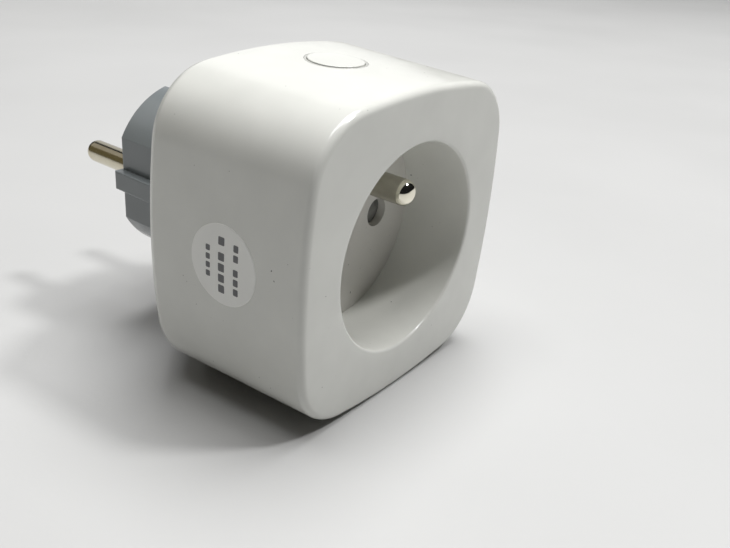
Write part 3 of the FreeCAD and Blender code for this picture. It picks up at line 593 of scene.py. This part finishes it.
def button_cap(material):
    """Slightly dished cap with a soft edge, and the stem below it."""
    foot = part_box("push_button")[0].z
    face = BUTTON_R - CAP_SOFT
    rings = []
    for share in (0.02, 0.15, 0.3, 0.45, 0.6, 0.75, 0.88, 1.0):
        rings.append(top_ring(face * share, BUTTON_PROUD - CAP_DISH * (1 - share ** 2)))
    for a in quarter_steps(5)[1:]:
        rings.append(top_ring(face + CAP_SOFT * math.sin(a), BUTTON_PROUD - CAP_SOFT * (1 - math.cos(a))))
    cap_base = foot + CAP_BASE
    rings.append(level_ring(BUTTON_R, cap_base + STEM_FILLET))
    rings.append(level_ring(BUTTON_R - STEM_FILLET, cap_base))
    rings.append(level_ring(STEM_R + STEM_FILLET, cap_base))
    rings.append(level_ring(STEM_R, cap_base - STEM_FILLET))
    rings.append(level_ring(STEM_R, foot))
    bm = bmesh.new()
    cap_ends(bm, bridge_rings(bm, rings, closed=False))
    cap = finish_mesh("button_cap", bm, material)
    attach(cap, "button")
    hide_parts("push_button")


def ring_guide(material):
    """Thin light guide flush with the top, with fine rounded edges, its flange and its leg."""
    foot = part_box("light_ring")[0].z
    flange_top = foot + RING_FLANGE_TOP
    flange_base = flange_top - RING_FLANGE_T
    rings = [
        level_ring(RING_IN, flange_base),
        top_ring(RING_IN, -4 * RING_SOFT),
        top_ring(RING_IN, -RING_SOFT),
        top_ring(RING_IN + RING_SOFT, 0.0),
        top_ring(RING_OUT - RING_SOFT, 0.0),
        top_ring(RING_OUT, -RING_SOFT),
        top_ring(RING_OUT, -4 * RING_SOFT),
        level_ring(RING_OUT, flange_top),
        level_ring(RING_FLANGE_R, flange_top),
        level_ring(RING_FLANGE_R, flange_base),
    ]
    bm = bmesh.new()
    bridge_rings(bm, rings, closed=True)
    leg = bmesh.ops.create_cone(bm, cap_ends=True, segments=32, radius1=RING_LEG_R * 0.9,
                                radius2=RING_LEG_R, depth=flange_base - foot)
    leg_place = Vector((BUTTON_MIDDLE.x + RING_LEG_X, BUTTON_MIDDLE.y, (flange_base + foot) / 2))
    bmesh.ops.translate(bm, verts=leg["verts"], vec=leg_place)
    ring = finish_mesh("ring_guide", bm, material)
    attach(ring, "casing")
    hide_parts("light_ring")


def side_point(along, up, lift):
    """Point this far off the curved left side, rearwards and up from the label's centre."""
    centre = middle("rating_sticker")
    y = centre.y + along
    z = centre.z + up
    return Vector((-shell_reach(z - AXIS_Z, y) - lift, y, z))


def label_disc(material):
    """Round paper label with a softly rounded rim."""
    low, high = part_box("rating_sticker")
    radius = (high.y - low.y) / 2
    face = radius - LABEL_SOFT
    profile = [(share * face, LABEL_T) for share in (0.02, 0.2, 0.4, 0.6, 0.8, 0.93, 1.0)]
    for a in quarter_steps(6)[1:]:
        profile.append((radius - LABEL_SOFT * (1 - math.sin(a)), LABEL_T * math.cos(a)))
    profile += [(radius * 0.5, 0.0), (radius * 0.02, 0.0)]
    rings = []
    for reach, lift in profile:
        rings.append([side_point(reach * math.cos(a), reach * math.sin(a), lift)
                      for a in turn_steps(LABEL_STEPS)])
    bm = bmesh.new()
    cap_ends(bm, bridge_rings(bm, rings, closed=False))
    label = finish_mesh("label_disc", bm, material)
    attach(label, "casing")
    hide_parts("rating_sticker")


def add_block(bm, along, width, start, end):
    """Block with rounded corners that follows the label's curved face, printed a hair thick."""
    half = width / 2
    corner = quarter_steps(4)
    stations = [start + INK_SOFT * (1 - math.cos(a)) for a in corner]
    stations += [start + (end - start) * share for share in (0.35, 0.5, 0.65)]
    stations += [end - INK_SOFT * (1 - math.sin(a)) for a in corner]
    base = 0.5 * LABEL_T
    top = LABEL_T + INK_T
    rings = []
    for up in stations:
        from_end = min(up - start, end - up, INK_SOFT)
        reach = half - INK_SOFT + math.sqrt(INK_SOFT ** 2 - (INK_SOFT - from_end) ** 2)
        section = ((-reach, base), (-reach, top), (reach, top), (reach, base))
        rings.append([side_point(along + offset, up, lift) for offset, lift in section])
    cap_ends(bm, bridge_rings(bm, rings, closed=False))


def label_blocks(material):
    """Three rows of plain blocks in place of the printed words, running up the label."""
    bm = bmesh.new()
    for along, width, length, words in BLOCK_ROWS:
        blocks = sum(words)
        total = blocks * length + (blocks - len(words)) * BLOCK_GAP + (len(words) - 1) * WORD_GAP
        start = -total / 2
        for word in words:
            for _ in range(word):
                add_block(bm, along, width, start, start + length)
                start += length + BLOCK_GAP
            start += WORD_GAP - BLOCK_GAP
    printed = finish_mesh("label_bars", bm, material)
    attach(printed, "casing")


# ---------------------------------------------------------------- spring of the shutter

def spring_coil(material):
    """Coil spring under the shutter, fixed to the casing. The real spring shortens as the shutter slides
    down; this one keeps its length.
    """
    low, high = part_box("shutter_spring")
    centre = (low + high) / 2
    coil_r = (high.x - low.x) / 2 - SPRING_WIRE_R
    climb = high.z - low.z - 2 * SPRING_WIRE_R
    upward = Vector((0.0, 0.0, 1.0))
    stations = SPRING_TURNS * SPRING_STEPS
    rings = []
    for i in range(stations + 1):
        turn = 2 * math.pi * i / SPRING_STEPS
        outward = Vector((math.cos(turn), math.sin(turn), 0.0))
        height = low.z + SPRING_WIRE_R + climb * i / stations
        place = Vector((centre.x, centre.y, height)) + coil_r * outward
        rings.append([place + SPRING_WIRE_R * (math.cos(a) * outward + math.sin(a) * upward)
                      for a in turn_steps(SPRING_SIDES)])
    bm = bmesh.new()
    cap_ends(bm, bridge_rings(bm, rings, closed=False))
    spring = finish_mesh("spring_coil", bm, material, sharp_deg=60.0)
    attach(spring, "casing")
    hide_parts("shutter_spring")
    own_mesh(spring)


# ---------------------------------------------------------------- assembly

make_camera()
MATERIALS = slot_materials()
make_world()
make_floor()
dress_cad_nodes(MATERIALS)
white_shell(MATERIALS["white_shell"])
button_cap(MATERIALS["white_shell"])
ring_guide(MATERIALS["light_guide"])
label_disc(MATERIALS["label"])
label_blocks(MATERIALS["ink"])
spring_coil(MATERIALS["spring_steel"])

make_lights()

bpy.context.scene.view_settings.view_transform = "Standard"
